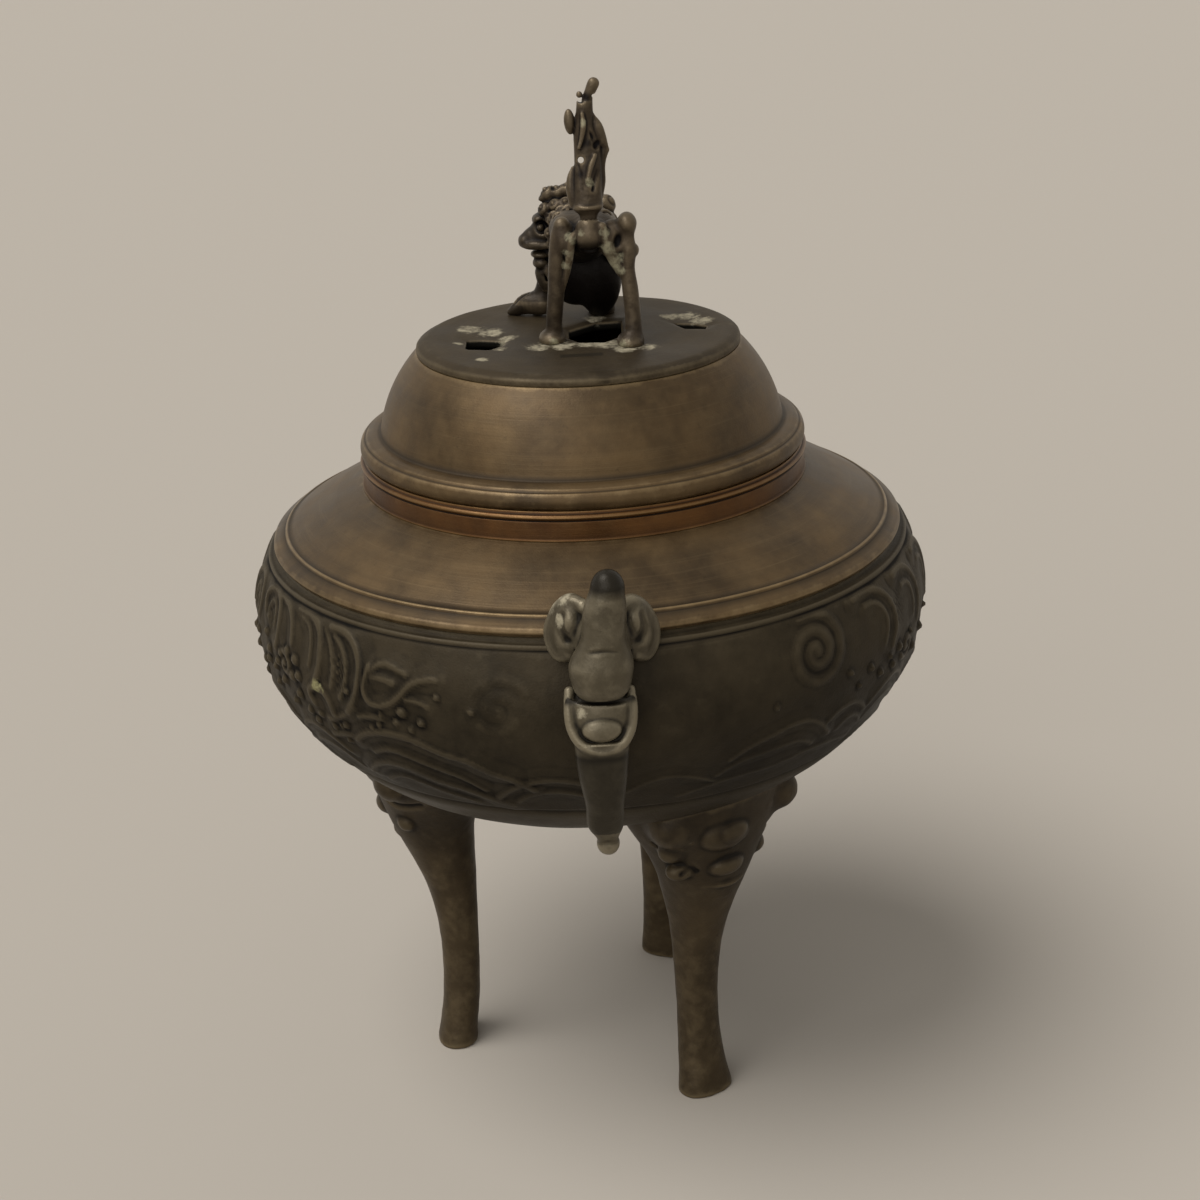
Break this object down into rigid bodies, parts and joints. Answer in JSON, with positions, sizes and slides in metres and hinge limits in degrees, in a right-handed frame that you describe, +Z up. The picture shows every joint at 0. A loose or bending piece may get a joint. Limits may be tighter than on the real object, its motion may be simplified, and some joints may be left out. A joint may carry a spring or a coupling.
{
  "type": "tripod censer",
  "caption": "Tripod cast bronze incense burner: squat bowl in wave relief, beast-head handles, and a lift-off lid with pierced smoke holes and a guardian lion.",
  "frame": {"origin": "on the surface the feet stand on, on the bowl's upright axis", "axes": "+Z up; the single leg and the lion's face towards -Y; the handles towards +X and -X; the lion's rump towards +X"},
  "size_m": [0.1372, 0.119, 0.1814],
  "materials": {
    "bronze_relief": "dark cast patina in raised wave relief, slightly worn on the crests",
    "bronze_turned": "brown patina, lathe turned, satin with fine scratches",
    "bronze_collar": "reddish brown patina, lathe turned, satin",
    "bronze_leg": "olive brown cast patina, worn brown at the feet",
    "bronze_rivet": "bare aged bronze",
    "bronze_handle": "grey olive cast patina with pale residue at the joints",
    "bronze_plate": "dark brown patina with pale residue round the smoke holes",
    "bronze_lion": "near black cast patina with green residue in the hollows"
  },
  "bodies": {
    "vessel": {"bowl": "bronze_relief", "shoulder_ring": "bronze_turned", "collar": "bronze_collar", "leg_front": "bronze_leg", "leg_back_right": "bronze_leg", "leg_back_left": "bronze_leg", "leg_rivets": "bronze_rivet", "handle_right": "bronze_handle", "handle_left": "bronze_handle", "handle_rivets": "bronze_rivet"},
    "lid": {"lid_dome": "bronze_turned", "lid_top_plate": "bronze_plate", "lion_body": "bronze_lion", "lion_tail": "bronze_lion", "finial_pins": "bronze_rivet"}
  },
  "joints": [
    {"name": "lid_lift", "type": "slide", "parent": "vessel", "child": "lid", "axis": [0, 0, 1], "range_m": [0, 0.06]}
  ]
}
